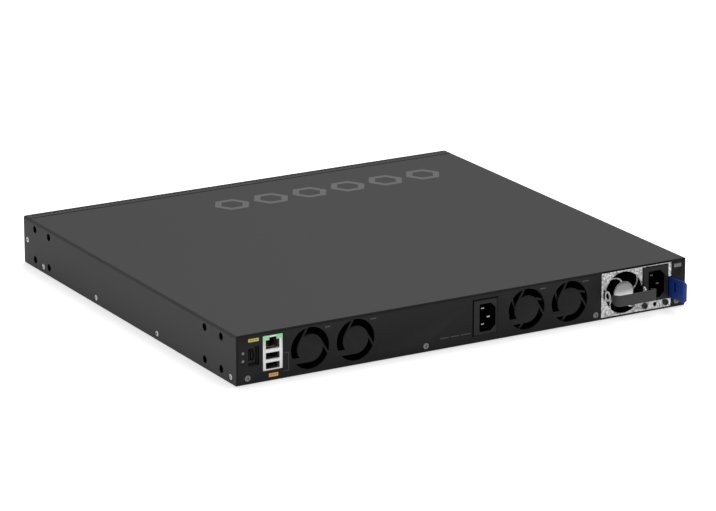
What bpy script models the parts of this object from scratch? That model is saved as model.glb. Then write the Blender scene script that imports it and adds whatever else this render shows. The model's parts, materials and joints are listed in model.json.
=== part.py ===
"""Rackmount network switch, one rack unit high.

A sheet-metal chassis holds the main board, four fans, a built-in power supply and a bay with
a second supply that slides out to the rear. Metres, +Z up, origin at the centre of the flat
underside. The rear face looks along -Y, the port side along +Y. The constants and the helper
arguments are millimetres, and the helpers turn them into metres.
"""
import math

import bmesh
import bpy
from mathutils import Matrix, Vector

MM = 0.001

# Chassis
HALF_WIDTH = 220.0
REAR_Y = -200.0
FRONT_Y = 200.0
HEIGHT = 43.2
SHEET = 1.2
GAP = 0.3
BEZEL_DEPTH = 11.7
COVER_END_Y = FRONT_Y - BEZEL_DEPTH - GAP
TRAY_HALF = HALF_WIDTH - SHEET - GAP
TRAY_INNER = TRAY_HALF - SHEET
TRAY_TOP = 40.5
PANEL_BACK_Y = REAR_Y + SHEET
BEHIND_PANEL_Y = PANEL_BACK_Y + GAP
PANEL_TOP = HEIGHT - SHEET - GAP

# Side fastenings: rows of tapped holes for rack ears, and the screws that hold the cover
EAR_ROWS_Y = (-174.5, -145.8, 149.2, 177.3)
EAR_ROWS_Z = (8.0, 36.0)
EAR_HOLE_R = 3.0
EAR_THREAD_R = 2.1
COVER_SCREWS_Y = (-189.7, -58.5, 57.0, 162.0)
COVER_SCREW_Z = 5.5
BEZEL_SCREW_Y = 194.0
BEZEL_SCREW_Z = 22.3
HEAD_R = 2.6
HEAD_HOLE_R = 2.9
SHANK_R = 1.3
SHANK_HOLE_R = 1.6
SCREW_LENGTH = 6.0

# Rear panel
REAR_SCREWS_X = (-209.3, -40.3, 128.5, 211.5)
REAR_SCREW_Z = 5.4
TAB_SPANS = ((-217.6, -202.5), (-46.0, -35.0), (123.5, 130.7), (207.6, 217.6))
TAB_TOP = 9.0
STATUS_X = -213.3
STATUS_ROWS_Z = (20.5, 27.2)
STATUS_R = 1.5
CONSOLE = ((-209.0, 15.5), (-198.5, 32.0))
STACK = ((-195.4, 9.0), (-176.5, 39.5))
INLET_HOLE = ((5.5, 5.5), (30.0, 37.5))
BAY_X = (133.4, 206.0)
BAY_FLOOR = 1.5

# Fans
FAN_X = (-151.0, -108.0, 58.5, 101.5)
FAN_Z = 22.0
FAN_HALF = 19.8
FAN_DEPTH = 28.0
FAN_BORE_R = 18.9
GUARD_IN_R = 12.0
GUARD_OUT_R = 18.0
GUARD_BARS = ((150.0, 1.5), (30.0, 1.5), (-90.0, 5.0))
STRUT_TURN = 47.0
BLADES = 5
BLADE_TIP = 17.3
HUB_R = 10.5

# Slide-in supply
PSU_X = (134.0, 205.4)
PSU_Z = (1.8, 41.4)
PSU_END_Y = -16.5
PSU_WALL = 0.8
PSU_FAN = (156.6, 21.5)
PSU_FAN_HALF = (18.9, 18.2)
PSU_BORE_R = 17.5
PSU_GUARD_IN_R = 9.75
PSU_GUARD_OUT_R = 18.5
PSU_SPOKE_STARTS = (10.5, 100.5, 190.5, 280.5)
PSU_INLET_HOLE = ((175.7, 9.0), (202.3, 40.5))
INLET_PROUD = 1.0
PSU_SCREWS_X = (178.5, 200.0)
PSU_LED_X = 189.0
PSU_LOW_Z = 5.8
HANDLE_X = (138.7, 180.8)
HANDLE_Z = (15.3, 24.9)
HANDLE_OUT = 17.6
HANDLE_THICK = 2.2
LATCH_X = (203.7, 205.1)
LATCH_Z = (9.8, 27.6)
LATCH_END_Y = -222.6
LATCH_END_TOP = 29.0
LATCH_PIVOT = (203.8, -184.0)
LATCH_BARREL_R = 1.3
LATCH_PIN_R = 0.5

# Boards and ports
BOARD_Z = (7.4, 9.0)
ON_BOARD_Z = BOARD_Z[1] + GAP
PORT_PITCH = 14.0
PORT_BLOCKS_X = (-120.0, -56.0)
PORT_BLOCK_W = 58.0
PORT_BLOCK_TOP = 36.6
PORT_W = 11.8
PORT_H = 10.0
PORT_DEPTH = 16.0
SFP_X = 30.0
SFP_COUNT = 4
SFP_PITCH = 15.4
SFP_TOP = 20.6
PORT_FACE_Y = 199.6
VENT_GROUPS = ((-190.0, 8), (72.0, 26))
VENT_PITCH = 5.0
VENT_SLOT = 2.4
VENT_Z = (10.0, 34.0)
BUTTON = (-203.0, 14.0)
BUTTON_R = 2.2
LIGHT_BAR = ((-208.0, 29.0), (-197.0, 31.4))

# Looks: colour, roughness, metallic
COVER_PAINT = ((0.105, 0.107, 0.110), 0.55, 0.3)
PANEL_PAINT = ((0.045, 0.046, 0.048), 0.55, 0.3)
ZINC = ((0.55, 0.55, 0.54), 0.38, 0.9)
STEEL = ((0.42, 0.42, 0.43), 0.32, 1.0)
BLACK_PLASTIC = ((0.012, 0.012, 0.013), 0.45, 0.0)
FAN_PLASTIC = ((0.020, 0.020, 0.022), 0.50, 0.0)
BOARD_GREEN = ((0.020, 0.090, 0.045), 0.50, 0.0)
ALUMINIUM = ((0.60, 0.61, 0.62), 0.35, 1.0)
BLUE_PLASTIC = ((0.012, 0.045, 0.22), 0.42, 0.0)
STRAP_GREY = ((0.040, 0.042, 0.045), 0.50, 0.2)
LENS = ((0.45, 0.47, 0.48), 0.25, 0.0)

for old in list(bpy.data.objects):
    bpy.data.objects.remove(old, do_unlink=True)

PARTS = bpy.data.collections.new("rackmount_switch")
CUTTERS = bpy.data.collections.new("cutters")
for group in (PARTS, CUTTERS):
    bpy.context.scene.collection.children.link(group)


# ---------------------------------------------------------------- helpers

def add_box(bm, low, high):
    """Adds a box between two corners and returns its vertices."""
    made = bmesh.ops.create_cube(bm, size=1.0)["verts"]
    low = Vector(low) * MM
    high = Vector(high) * MM
    place = Matrix.Translation((low + high) / 2) @ Matrix.Diagonal(high - low).to_4x4()
    bmesh.ops.transform(bm, matrix=place, verts=made)
    return made


def add_rod(bm, centre, radius, length, axis, sides=24):
    """Adds a cylinder centred on a point, along X, Y or Z."""
    turns = {"X": Matrix.Rotation(math.pi / 2, 4, "Y"), "Y": Matrix.Rotation(math.pi / 2, 4, "X"),
             "Z": Matrix.Identity(4)}
    place = Matrix.Translation(Vector(centre) * MM) @ turns[axis]
    bmesh.ops.create_cone(bm, cap_ends=True, segments=sides, radius1=radius * MM,
                          radius2=radius * MM, depth=length * MM, matrix=place)


def settle(name, bm, home, origin):
    """Turns a bmesh into an object whose origin is at the given point."""
    bmesh.ops.translate(bm, vec=-Vector(origin) * MM, verts=bm.verts)
    mesh = bpy.data.meshes.new(name)
    bm.to_mesh(mesh)
    bm.free()
    obj = bpy.data.objects.new(name, mesh)
    obj.location = Vector(origin) * MM
    home.objects.link(obj)
    return obj


def paint(obj, look):
    """Gives an object its own material."""
    colour, roughness, metallic = look
    material = bpy.data.materials.new(obj.name + "_finish")
    material.use_nodes = True
    shader = material.node_tree.nodes["Principled BSDF"]
    shader.inputs["Base Color"].default_value = (*colour, 1.0)
    shader.inputs["Roughness"].default_value = roughness
    shader.inputs["Metallic"].default_value = metallic
    obj.data.materials.append(material)


def part(name, bm, look, origin=(0, 0, 0)):
    """A sub-part of the switch."""
    obj = settle(name, bm, PARTS, origin)
    paint(obj, look)
    return obj


def box_part(name, low, high, look):
    """A sub-part that starts as one box, with its origin at the box's centre."""
    bm = bmesh.new()
    add_box(bm, low, high)
    centre = [(a + b) / 2 for a, b in zip(low, high)]
    return part(name, bm, look, centre)


def tool(name, bm, origin=(0, 0, 0)):
    """A shape that cuts or joins another, and isn't a part itself."""
    obj = settle(name, bm, CUTTERS, origin)
    obj.hide_render = True
    obj.display_type = "WIRE"
    return obj


def boolean(target, operation, other):
    """Adds one Boolean modifier."""
    modifier = target.modifiers.new(operation.lower(), "BOOLEAN")
    modifier.operation = operation
    modifier.solver = "EXACT"
    modifier.object = other


def cut(target, bm):
    """Takes a shape away from an object."""
    boolean(target, "DIFFERENCE", tool(target.name + "_cut", bm))


def join(target, bm):
    """Adds a shape, which overlaps the object, to it."""
    boolean(target, "UNION", tool(target.name + "_add", bm))


def cut_boxes(target, boxes):
    """Takes separate boxes away from an object in one go."""
    bm = bmesh.new()
    for low, high in boxes:
        add_box(bm, low, high)
    cut(target, bm)


def shade_round(obj):
    """Shades a round piece smooth, with its corners kept sharp."""
    obj.data.shade_smooth()
    obj.data.set_sharp_from_angle(angle=math.radians(35))


def pivot(name, location, parent=None):
    """An empty on a joint's axis, which the moving pieces hang from."""
    empty = bpy.data.objects.new(name, None)
    empty.location = Vector(location) * MM
    PARTS.objects.link(empty)
    if parent:
        hang(empty, parent)
    return empty


def hang(child, parent):
    """Parents an object without moving it."""
    bpy.context.view_layer.update()
    child.parent = parent
    child.matrix_parent_inverse = parent.matrix_world.inverted()


def turned(name, profile, look, location, rotation, steps=16):
    """A turned piece: its profile runs from the top down, at +X, about the object's Z axis."""
    bm = bmesh.new()
    points = [bm.verts.new((radius * MM, 0, height * MM)) for radius, height in profile]
    for first, second in zip(points, points[1:]):
        bm.edges.new((first, second))
    obj = part(name, bm, look)
    obj.location = Vector(location) * MM
    obj.rotation_euler = rotation
    screw = obj.modifiers.new("turn", "SCREW")
    screw.steps = steps
    screw.render_steps = steps
    screw.use_merge_vertices = True
    screw.merge_threshold = 0.00001
    return obj


FACING = {"-X": (0, -math.pi / 2, 0), "+X": (0, math.pi / 2, 0), "-Y": (math.pi / 2, 0, 0)}


def screw_part(name, seat, facing, head_depth, look):
    """A flat-headed machine screw. The seat is the middle of its head's outer face."""
    edge = 0.3
    profile = ((0, 0), (HEAD_R - edge, 0), (HEAD_R, -edge), (HEAD_R, -head_depth),
               (SHANK_R, -head_depth), (SHANK_R, -SCREW_LENGTH), (0, -SCREW_LENGTH))
    return turned(name, profile, look, seat, FACING[facing])


def lens(name, seat, radius, length, look):
    """A round light pipe that looks out to the rear."""
    profile = ((0, 0), (radius * 0.7, -0.15), (radius, -0.6), (radius, -length), (0, -length))
    return turned(name, profile, look, seat, FACING["-Y"], steps=14)


# ---------------------------------------------------------------- chassis

def side_holes(bm, radius_ear, radius_screw, sides=12):
    """The holes through both side walls, for rack ears and for the cover's screws."""
    span = 2 * HALF_WIDTH + 20
    for y in EAR_ROWS_Y:
        for z in EAR_ROWS_Z:
            add_rod(bm, (0, y, z), radius_ear, span, "X", sides)
    for y in COVER_SCREWS_Y:
        add_rod(bm, (0, y, COVER_SCREW_Z), radius_screw, span, "X", sides)


def base_tray():
    """Bottom sheet with two upturned sides, screw tabs at the rear and standoffs for the board."""
    tray = box_part("base_tray", (-TRAY_HALF, BEHIND_PANEL_Y, 0), (TRAY_HALF, COVER_END_Y, TRAY_TOP), ZINC)
    over = 10.0
    cut_boxes(tray, [((-TRAY_INNER, BEHIND_PANEL_Y - over, SHEET),
                      (TRAY_INNER, COVER_END_Y + over, TRAY_TOP + over))])
    for low_x, high_x in TAB_SPANS:
        bm = bmesh.new()
        add_box(bm, (low_x, BEHIND_PANEL_Y, 0.4), (high_x, BEHIND_PANEL_Y + SHEET, TAB_TOP))
        join(tray, bm)
    bm = bmesh.new()
    standoff_r = 3.0
    foot = 0.4
    tall = BOARD_Z[0] - GAP - foot
    places = ((-200, -130), (-70, -130), (-200, 20), (60, 20), (200, 20), (-200, 168), (60, 168), (200, 168))
    for x, y in places:
        add_rod(bm, (x, y, foot + tall / 2), standoff_r, tall, "Z", 12)
    join(tray, bm)
    bm = bmesh.new()
    side_holes(bm, EAR_THREAD_R, SHANK_HOLE_R)
    cut(tray, bm)
    bm = bmesh.new()
    for x in REAR_SCREWS_X:
        add_rod(bm, (x, BEHIND_PANEL_Y, REAR_SCREW_Z), SHANK_HOLE_R, 8, "Y", 12)
    cut(tray, bm)


def top_cover():
    """Top sheet with two sides that reach down over the tray and forward over the bezel's ends."""
    cover = box_part("top_cover", (-HALF_WIDTH, REAR_Y, GAP), (HALF_WIDTH, FRONT_Y, HEIGHT), COVER_PAINT)
    inner = HALF_WIDTH - SHEET
    over = 10.0
    cut_boxes(cover, [((-inner, REAR_Y - over, -over), (inner, FRONT_Y + over, HEIGHT - SHEET))])
    cut_boxes(cover, [((-inner, COVER_END_Y, -over), (inner, FRONT_Y + over, HEIGHT + over))])
    bm = bmesh.new()
    side_holes(bm, EAR_HOLE_R, HEAD_HOLE_R, 16)
    add_rod(bm, (0, BEZEL_SCREW_Y, BEZEL_SCREW_Z), HEAD_HOLE_R, 2 * HALF_WIDTH + over, "X", 16)
    cut(cover, bm)


def guard_slots(name, centre_x):
    """The three arc slots of one fan guard: a ring, less its disc and its three leaning bars."""
    deep = 6.0
    middle = (centre_x, REAR_Y, FAN_Z)
    bm = bmesh.new()
    add_rod(bm, middle, GUARD_OUT_R, deep, "Y", 48)
    slots = tool(name, bm, middle)
    bm = bmesh.new()
    add_rod(bm, middle, GUARD_IN_R, deep + 2, "Y", 32)
    boolean(slots, "DIFFERENCE", tool(name + "_disc", bm, middle))
    for index, (angle, width) in enumerate(GUARD_BARS):
        bm = bmesh.new()
        add_box(bm, (0, -deep, GUARD_IN_R - width), (GUARD_OUT_R + 4, deep, GUARD_IN_R))
        bar = tool(f"{name}_bar_{index}", bm)
        bar.location = Vector(middle) * MM
        bar.rotation_euler = (0, math.radians(90 - angle), 0)
        boolean(slots, "DIFFERENCE", bar)
    return slots


def rear_panel():
    """Rear plate with the fan guards, the port windows and the notch of the supply bay."""
    panel = box_part("rear_panel", (-TRAY_HALF, REAR_Y, GAP), (TRAY_HALF, PANEL_BACK_Y, PANEL_TOP), PANEL_PAINT)
    front = REAR_Y - 3
    back = PANEL_BACK_Y + 3
    holes = (CONSOLE, STACK, INLET_HOLE)
    windows = [((low[0], front, low[1]), (high[0], back, high[1])) for low, high in holes]
    windows.append(((BAY_X[0], front, BAY_FLOOR), (BAY_X[1], back, HEIGHT + 5)))
    cut_boxes(panel, windows)
    bm = bmesh.new()
    for x in REAR_SCREWS_X:
        add_rod(bm, (x, REAR_Y, REAR_SCREW_Z), HEAD_HOLE_R, 6, "Y", 16)
    for z in STATUS_ROWS_Z:
        add_rod(bm, (STATUS_X, REAR_Y, z), STATUS_R + GAP, 6, "Y", 16)
    cut(panel, bm)
    for index, x in enumerate(FAN_X, 1):
        boolean(panel, "DIFFERENCE", guard_slots(f"guard_{index}", x))


def chassis_screws():
    """Flush screws of the cover, the bezel and the rear panel."""
    count = 0
    for facing, side in (("-X", -1), ("+X", 1)):
        for y in COVER_SCREWS_Y:
            count += 1
            screw_part(f"cover_screw_{count}", (side * HALF_WIDTH, y, COVER_SCREW_Z), facing, 1.2, STEEL)
        name = "bezel_screw_" + ("1" if side < 0 else "2")
        screw_part(name, (side * HALF_WIDTH, BEZEL_SCREW_Y, BEZEL_SCREW_Z), facing, 1.2, STEEL)
    for index, x in enumerate(REAR_SCREWS_X, 1):
        seat = (x, REAR_Y - 0.5, REAR_SCREW_Z)
        screw_part(f"rear_screw_{index}", seat, "-Y", 1.5, STEEL)


def status_lights():
    """The two status light pipes at the rear's left edge."""
    for index, z in enumerate(STATUS_ROWS_Z, 1):
        lens(f"status_light_{index}", (STATUS_X, REAR_Y - 0.2, z), STATUS_R, 6, LENS)


# ---------------------------------------------------------------- front

def port_windows(near_y, far_y, spare):
    """Boxes through a front plate for the ports and the lights."""
    boxes = []
    for x in PORT_BLOCKS_X:
        half = PORT_BLOCK_W / 2 + spare
        boxes.append(((x - half, near_y, ON_BOARD_Z - spare), (x + half, far_y, PORT_BLOCK_TOP + spare)))
    half = SFP_COUNT * SFP_PITCH / 2 + spare
    boxes.append(((SFP_X - half, near_y, ON_BOARD_Z - spare), (SFP_X + half, far_y, SFP_TOP + spare)))
    low, high = LIGHT_BAR
    boxes.append(((low[0] - spare, near_y, low[1] - spare), (high[0] + spare, far_y, high[1] + spare)))
    return boxes


def front_bezel():
    """Moulded bezel along the front: an open-backed frame with a slotted face."""
    half = TRAY_HALF
    bezel = box_part("front_bezel", (-half, FRONT_Y - BEZEL_DEPTH, 0), (half, FRONT_Y, HEIGHT), COVER_PAINT)
    wall = 2.0
    face = 2.2
    cut_boxes(bezel, [((-half + wall, COVER_END_Y - 5, wall), (half - wall, FRONT_Y - face, HEIGHT - wall))])
    windows = port_windows(FRONT_Y - 6, FRONT_Y + 5, GAP)
    for first_x, count in VENT_GROUPS:
        for index in range(count):
            x = first_x + index * VENT_PITCH
            low = (x - VENT_SLOT / 2, FRONT_Y - 6, VENT_Z[0])
            high = (x + VENT_SLOT / 2, FRONT_Y + 5, VENT_Z[1])
            windows.append((low, high))
    cut_boxes(bezel, windows)
    bm = bmesh.new()
    add_rod(bm, (BUTTON[0], FRONT_Y, BUTTON[1]), BUTTON_R + GAP, 12, "Y", 20)
    for side in (-1, 1):
        add_rod(bm, (side * HALF_WIDTH, BEZEL_SCREW_Y, BEZEL_SCREW_Z), SHANK_HOLE_R, 12, "X", 12)
    cut(bezel, bm)


def front_panel():
    """Sheet behind the bezel, with two short sides that the bezel's screws go into."""
    half = TRAY_HALF - 2.5
    flange_end = FRONT_Y - 2.8
    sheet_y = COVER_END_Y - 1.6
    low_z = SHEET + GAP
    panel = box_part("front_panel", (-half, sheet_y, low_z + 1.5), (half, flange_end, PANEL_TOP - 1.5), ZINC)
    cut_boxes(panel, [((-half + SHEET, sheet_y + SHEET, -5), (half - SHEET, FRONT_Y + 5, HEIGHT + 5))])
    windows = port_windows(sheet_y - 5, FRONT_Y + 5, GAP)
    for first_x, count in VENT_GROUPS:
        last_x = first_x + (count - 1) * VENT_PITCH
        low = (first_x - VENT_SLOT, sheet_y - 5, VENT_Z[0])
        high = (last_x + VENT_SLOT, FRONT_Y + 5, VENT_Z[1])
        windows.append((low, high))
    cut_boxes(panel, windows)
    bm = bmesh.new()
    add_rod(bm, (0, BEZEL_SCREW_Y, BEZEL_SCREW_Z), SHANK_HOLE_R, 2 * HALF_WIDTH, "X", 12)
    add_rod(bm, (BUTTON[0], sheet_y, BUTTON[1]), BUTTON_R + GAP, 12, "Y", 16)
    cut(panel, bm)


def port_blocks():
    """Two shielded blocks, each of two rows of four network ports."""
    columns = 4
    back_y = PORT_FACE_Y - 24
    low_row = ON_BOARD_Z + 2.4
    high_row = PORT_BLOCK_TOP - 2.4 - PORT_H
    for number, x in enumerate(PORT_BLOCKS_X, 1):
        low = (x - PORT_BLOCK_W / 2, back_y, ON_BOARD_Z)
        high = (x + PORT_BLOCK_W / 2, PORT_FACE_Y, PORT_BLOCK_TOP)
        block = box_part(f"port_block_{number}", low, high, ZINC)
        sockets = []
        for column in range(columns):
            middle = x + (column - (columns - 1) / 2) * PORT_PITCH
            for row in (low_row, high_row):
                sockets.append(((middle - PORT_W / 2, PORT_FACE_Y - PORT_DEPTH, row),
                                (middle + PORT_W / 2, PORT_FACE_Y + 5, row + PORT_H)))
        cut_boxes(block, sockets)


def sfp_cage():
    """Row of deep sockets for pluggable fibre modules."""
    half = SFP_COUNT * SFP_PITCH / 2
    cage = box_part("sfp_cage", (SFP_X - half, PORT_FACE_Y - 48, ON_BOARD_Z),
                    (SFP_X + half, PORT_FACE_Y, SFP_TOP), ZINC)
    wall = 0.8
    sockets = []
    for index in range(SFP_COUNT):
        left = SFP_X - half + index * SFP_PITCH + wall
        sockets.append(((left, PORT_FACE_Y - 46, ON_BOARD_Z + wall),
                        (left + SFP_PITCH - 2 * wall, PORT_FACE_Y + 5, SFP_TOP - wall)))
    cut_boxes(cage, sockets)


def front_controls():
    """Mode button, whose origin is on its axis of travel, and the light bar above it."""
    profile = ((0, 0), (BUTTON_R - 0.4, 0), (BUTTON_R, -0.4), (BUTTON_R, -12), (0, -12))
    seat = (BUTTON[0], FRONT_Y - 0.1, BUTTON[1])
    turned("mode_button", profile, BLACK_PLASTIC, seat, (-math.pi / 2, 0, 0))
    low, high = LIGHT_BAR
    box_part("front_light_bar", (low[0], FRONT_Y - 16, low[1]), (high[0], FRONT_Y - 0.1, high[1]), LENS)


# ---------------------------------------------------------------- boards

def main_board():
    """L-shaped main board, with a narrow tongue out to the service ports."""
    wide = 212.0
    board = box_part("main_board", (-wide, -166, BOARD_Z[0]), (wide, 174, BOARD_Z[1]), BOARD_GREEN)
    low = BOARD_Z[0] - 3
    high = BOARD_Z[1] + 3
    cut_boxes(board, [((-42, -180, low), (wide + 5, 4, high))])
    bm = bmesh.new()
    add_box(bm, (-wide, -188, BOARD_Z[0]), (-175, -150, BOARD_Z[1]))
    join(board, bm)


def switch_chip():
    """Switching chip and its finned heatsink."""
    box_part("switch_chip", (-62, 42, ON_BOARD_Z), (-18, 86, ON_BOARD_Z + 3), BLACK_PLASTIC)
    base_z = ON_BOARD_Z + 3 + GAP
    sink = box_part("switch_heatsink", (-76, 28, base_z), (-4, 100, 37), ALUMINIUM)
    fins = 12
    pitch = 72 / fins
    slots = []
    for index in range(fins):
        left = -76 + index * pitch + pitch * 0.3
        slots.append(((left, 20, base_z + 4), (left + pitch * 0.55, 108, 45)))
    cut_boxes(sink, slots)


def service_ports():
    """Rear stack of a network port over two bus ports, and the console port beside it."""
    low, high = STACK
    face_y = REAR_Y - 0.3
    stack = box_part("service_port_stack", (low[0] + GAP, face_y, low[1] + GAP),
                     (high[0] - GAP, -178, high[1] - GAP), ZINC)
    front = face_y - 5
    cut_boxes(stack, [((-192.4, front, 27.8), (-179.8, face_y + 15, 37.4)),
                      ((-192.4, front, 19.0), (-179.7, face_y + 13, 24.2)),
                      ((-192.4, front, 10.6), (-179.7, face_y + 13, 15.8))])
    bm = bmesh.new()
    for tongue_z in (21.8, 13.4):
        add_box(bm, (-191.2, face_y + 1.5, tongue_z), (-180.9, face_y + 14, tongue_z + 1.6))
    join(stack, bm)
    low, high = CONSOLE
    console = box_part("console_port", (low[0] + GAP, BEHIND_PANEL_Y, ON_BOARD_Z),
                       (high[0] - GAP, -184, 33.0), BLACK_PLASTIC)
    front = BEHIND_PANEL_Y - 5
    cut_boxes(console, [((low[0] + 1.2, front, low[1] + 0.8),
                         (high[0] - 1.2, BEHIND_PANEL_Y + 2.5, high[1] - 0.8))])
    cut_boxes(console, [((-206.4, front, 19.0), (-201.6, BEHIND_PANEL_Y + 10, 28.0))])
    bm = bmesh.new()
    add_box(bm, (-204.4, BEHIND_PANEL_Y + 3, 20.4), (-203.6, BEHIND_PANEL_Y + 11, 26.6))
    join(console, bm)


# ---------------------------------------------------------------- fans

def fan_frame(name, centre, halves, bore_r, span_y, strut_y, strut_turn):
    """Square frame with a round bore, three struts and the motor's plate."""
    x, z = centre
    half_x, half_z = halves
    near_y, far_y = span_y
    frame = box_part(name, (x - half_x, near_y, z - half_z), (x + half_x, far_y, z + half_z), FAN_PLASTIC)
    middle_y = (near_y + far_y) / 2
    bm = bmesh.new()
    add_rod(bm, (x, middle_y, z), bore_r, far_y - near_y + 6, "Y", 40)
    cut(frame, bm)
    bm = bmesh.new()
    hole_r = 1.7
    inset = 3.4
    for side_x in (-1, 1):
        for side_z in (-1, 1):
            hole = (x + side_x * (half_x - inset), middle_y, z + side_z * (half_z - inset))
            add_rod(bm, hole, hole_r, far_y - near_y + 6, "Y", 12)
    cut(frame, bm)
    strut_depth = 2.0
    plate_r = 10.0
    bm = bmesh.new()
    add_rod(bm, (x, strut_y + strut_depth / 2, z), plate_r, strut_depth, "Y", 32)
    join(frame, bm)
    inner_edge = plate_r - 2.4
    reach = math.sqrt(bore_r ** 2 - inner_edge ** 2) + 0.25
    for index in range(3):
        bm = bmesh.new()
        add_box(bm, (-1, 0.2, inner_edge), (reach, strut_depth - 0.2, plate_r - 0.4))
        strut = tool(f"{name}_strut_{index}", bm)
        strut.location = Vector((x, strut_y, z)) * MM
        strut.rotation_euler = (0, math.radians(90 - strut_turn - 120 * index), 0)
        boolean(frame, "UNION", strut)


def fan_rotor(name, centre, span_y, hub_r, tip_r):
    """Hub with pitched blades, turning about Y. The origin is on the axis."""
    x, z = centre
    near_y, far_y = span_y
    length = far_y - near_y
    profile = ((0, 0), (hub_r - 1, 0), (hub_r, -1), (hub_r, -length), (0, -length))
    rotor = turned(name, profile, FAN_PLASTIC, (x, near_y, z), FACING["-Y"], steps=32)
    chord = min(13.0, length - 4)
    pitch = math.radians(40)
    bm = bmesh.new()
    for index in range(BLADES):
        made = add_box(bm, (hub_r - 2, -0.5, -chord / 2), (tip_r, 0.5, chord / 2))
        turn = Matrix.Rotation(2 * math.pi * index / BLADES, 4, "Y")
        place = turn @ Matrix.Rotation(math.pi / 2 - pitch, 4, "X")
        bmesh.ops.transform(bm, matrix=place, verts=made)
    blades = tool(name + "_blades", bm)
    blades.location = Vector((x, near_y + length / 2, z)) * MM
    boolean(rotor, "UNION", blades)
    return rotor


def chassis_fans():
    """Four fans behind the guards. The first two have their struts at the inner end."""
    near_y = BEHIND_PANEL_Y
    far_y = near_y + FAN_DEPTH
    for number, x in enumerate(FAN_X, 1):
        struts_outside = number > 2
        strut_y = near_y + 2.9 if struts_outside else far_y - 3
        rotor_span = (strut_y + 2.6, far_y - 1) if struts_outside else (near_y + 1, strut_y - 0.6)
        centre = (x, FAN_Z)
        turn = 30 + STRUT_TURN
        fan_frame(f"fan_{number}_frame", centre, (FAN_HALF, FAN_HALF), FAN_BORE_R, (near_y, far_y),
                  strut_y, turn)
        fan_rotor(f"fan_{number}_rotor", centre, rotor_span, HUB_R, BLADE_TIP)


# ---------------------------------------------------------------- built-in supply

def inlet_part(name, body, cavity, pins, face_y, look):
    """Three-pin mains inlet, longer earth pin last: body and cavity are (low x, low z, high x, high z)."""
    depth = 22.0
    inlet = box_part(name, (body[0], face_y, body[1]), (body[2], face_y + depth, body[3]), look)
    hollow = 16.0
    corner = 4.6
    bm = bmesh.new()
    add_box(bm, (cavity[0], face_y - 5, cavity[1]), (cavity[2], face_y + hollow, cavity[3]))
    edges = [edge for edge in bm.edges
             if all(vert.co.x > (cavity[2] - 0.1) * MM for vert in edge.verts)
             and abs(edge.verts[0].co.y - edge.verts[1].co.y) > MM]
    bmesh.ops.bevel(bm, geom=edges, offset=corner * MM, segments=1, affect="EDGES")
    cut(inlet, bm)
    pin_tip = 4.9
    earth_tip = 2.0
    bm = bmesh.new()
    for (x, z), tip in zip(pins, (pin_tip, pin_tip, earth_tip)):
        add_box(bm, (x - 2, face_y + tip, z - 1), (x + 2, face_y + hollow + 2, z + 1))
    join(inlet, bm)


def built_in_supply():
    """The fixed supply: its inlet, its cover, its board and its transformer."""
    body = (INLET_HOLE[0][0] + GAP, INLET_HOLE[0][1] + GAP, INLET_HOLE[1][0] - GAP, INLET_HOLE[1][1] - GAP)
    pins = ((18.0, 27.7), (18.0, 13.7), (22.0, 20.7))
    inlet_part("ac_inlet", body, (12.2, 9.1, 27.8, 33.1), pins, REAR_Y + 0.4, BLACK_PLASTIC)
    low = (-32, -175, 2.0)
    high = (34.5, -20, 41.0)
    cover = box_part("supply_cover", low, high, ZINC)
    cut_boxes(cover, [((low[0] + 1, low[1] - 5, -5), (high[0] - 1, high[1] + 5, high[2] - 1))])
    slots = []
    for index in range(9):
        y = -160 + index * 15
        slots.append(((-60, y, 12), (60, y + 3, 32)))
    cut_boxes(cover, slots)
    box_part("supply_board", (-30, -172, 4.6), (32.5, -24, 6.2), BOARD_GREEN)
    box_part("supply_transformer", (-14, -112, 6.5), (18, -78, 34), STEEL)


# ---------------------------------------------------------------- supply bay and slide-in supply

def supply_bay():
    """The bay's guide walls, the upright board behind it and the board's socket."""
    left = BAY_X[0] - SHEET
    right = BAY_X[1] + SHEET
    back_y = PSU_END_Y + 1.5
    cage = box_part("supply_bay_cage", (left, BEHIND_PANEL_Y, SHEET + GAP), (right, back_y + SHEET, 41.5), ZINC)
    cut_boxes(cage, [((left + SHEET, BEHIND_PANEL_Y - 5, -5), (right - SHEET, back_y, HEIGHT + 5))])
    cut_boxes(cage, [((145, back_y - 5, 3.5), (195, back_y + 5, 17.5)),
                     ((right - SHEET - 2, -196.5, 17), (right + 2, -190.5, 24))])
    box_part("power_backplane", (135, -6, 9.6), (203, -4.4, 40), BOARD_GREEN)
    socket = box_part("supply_socket", (147, -12.5, 10.0), (193, -6.3, 16.6), BLACK_PLASTIC)
    cut_boxes(socket, [((149.4, -20, 12.0), (190.6, -7.6, 14.6))])


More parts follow.
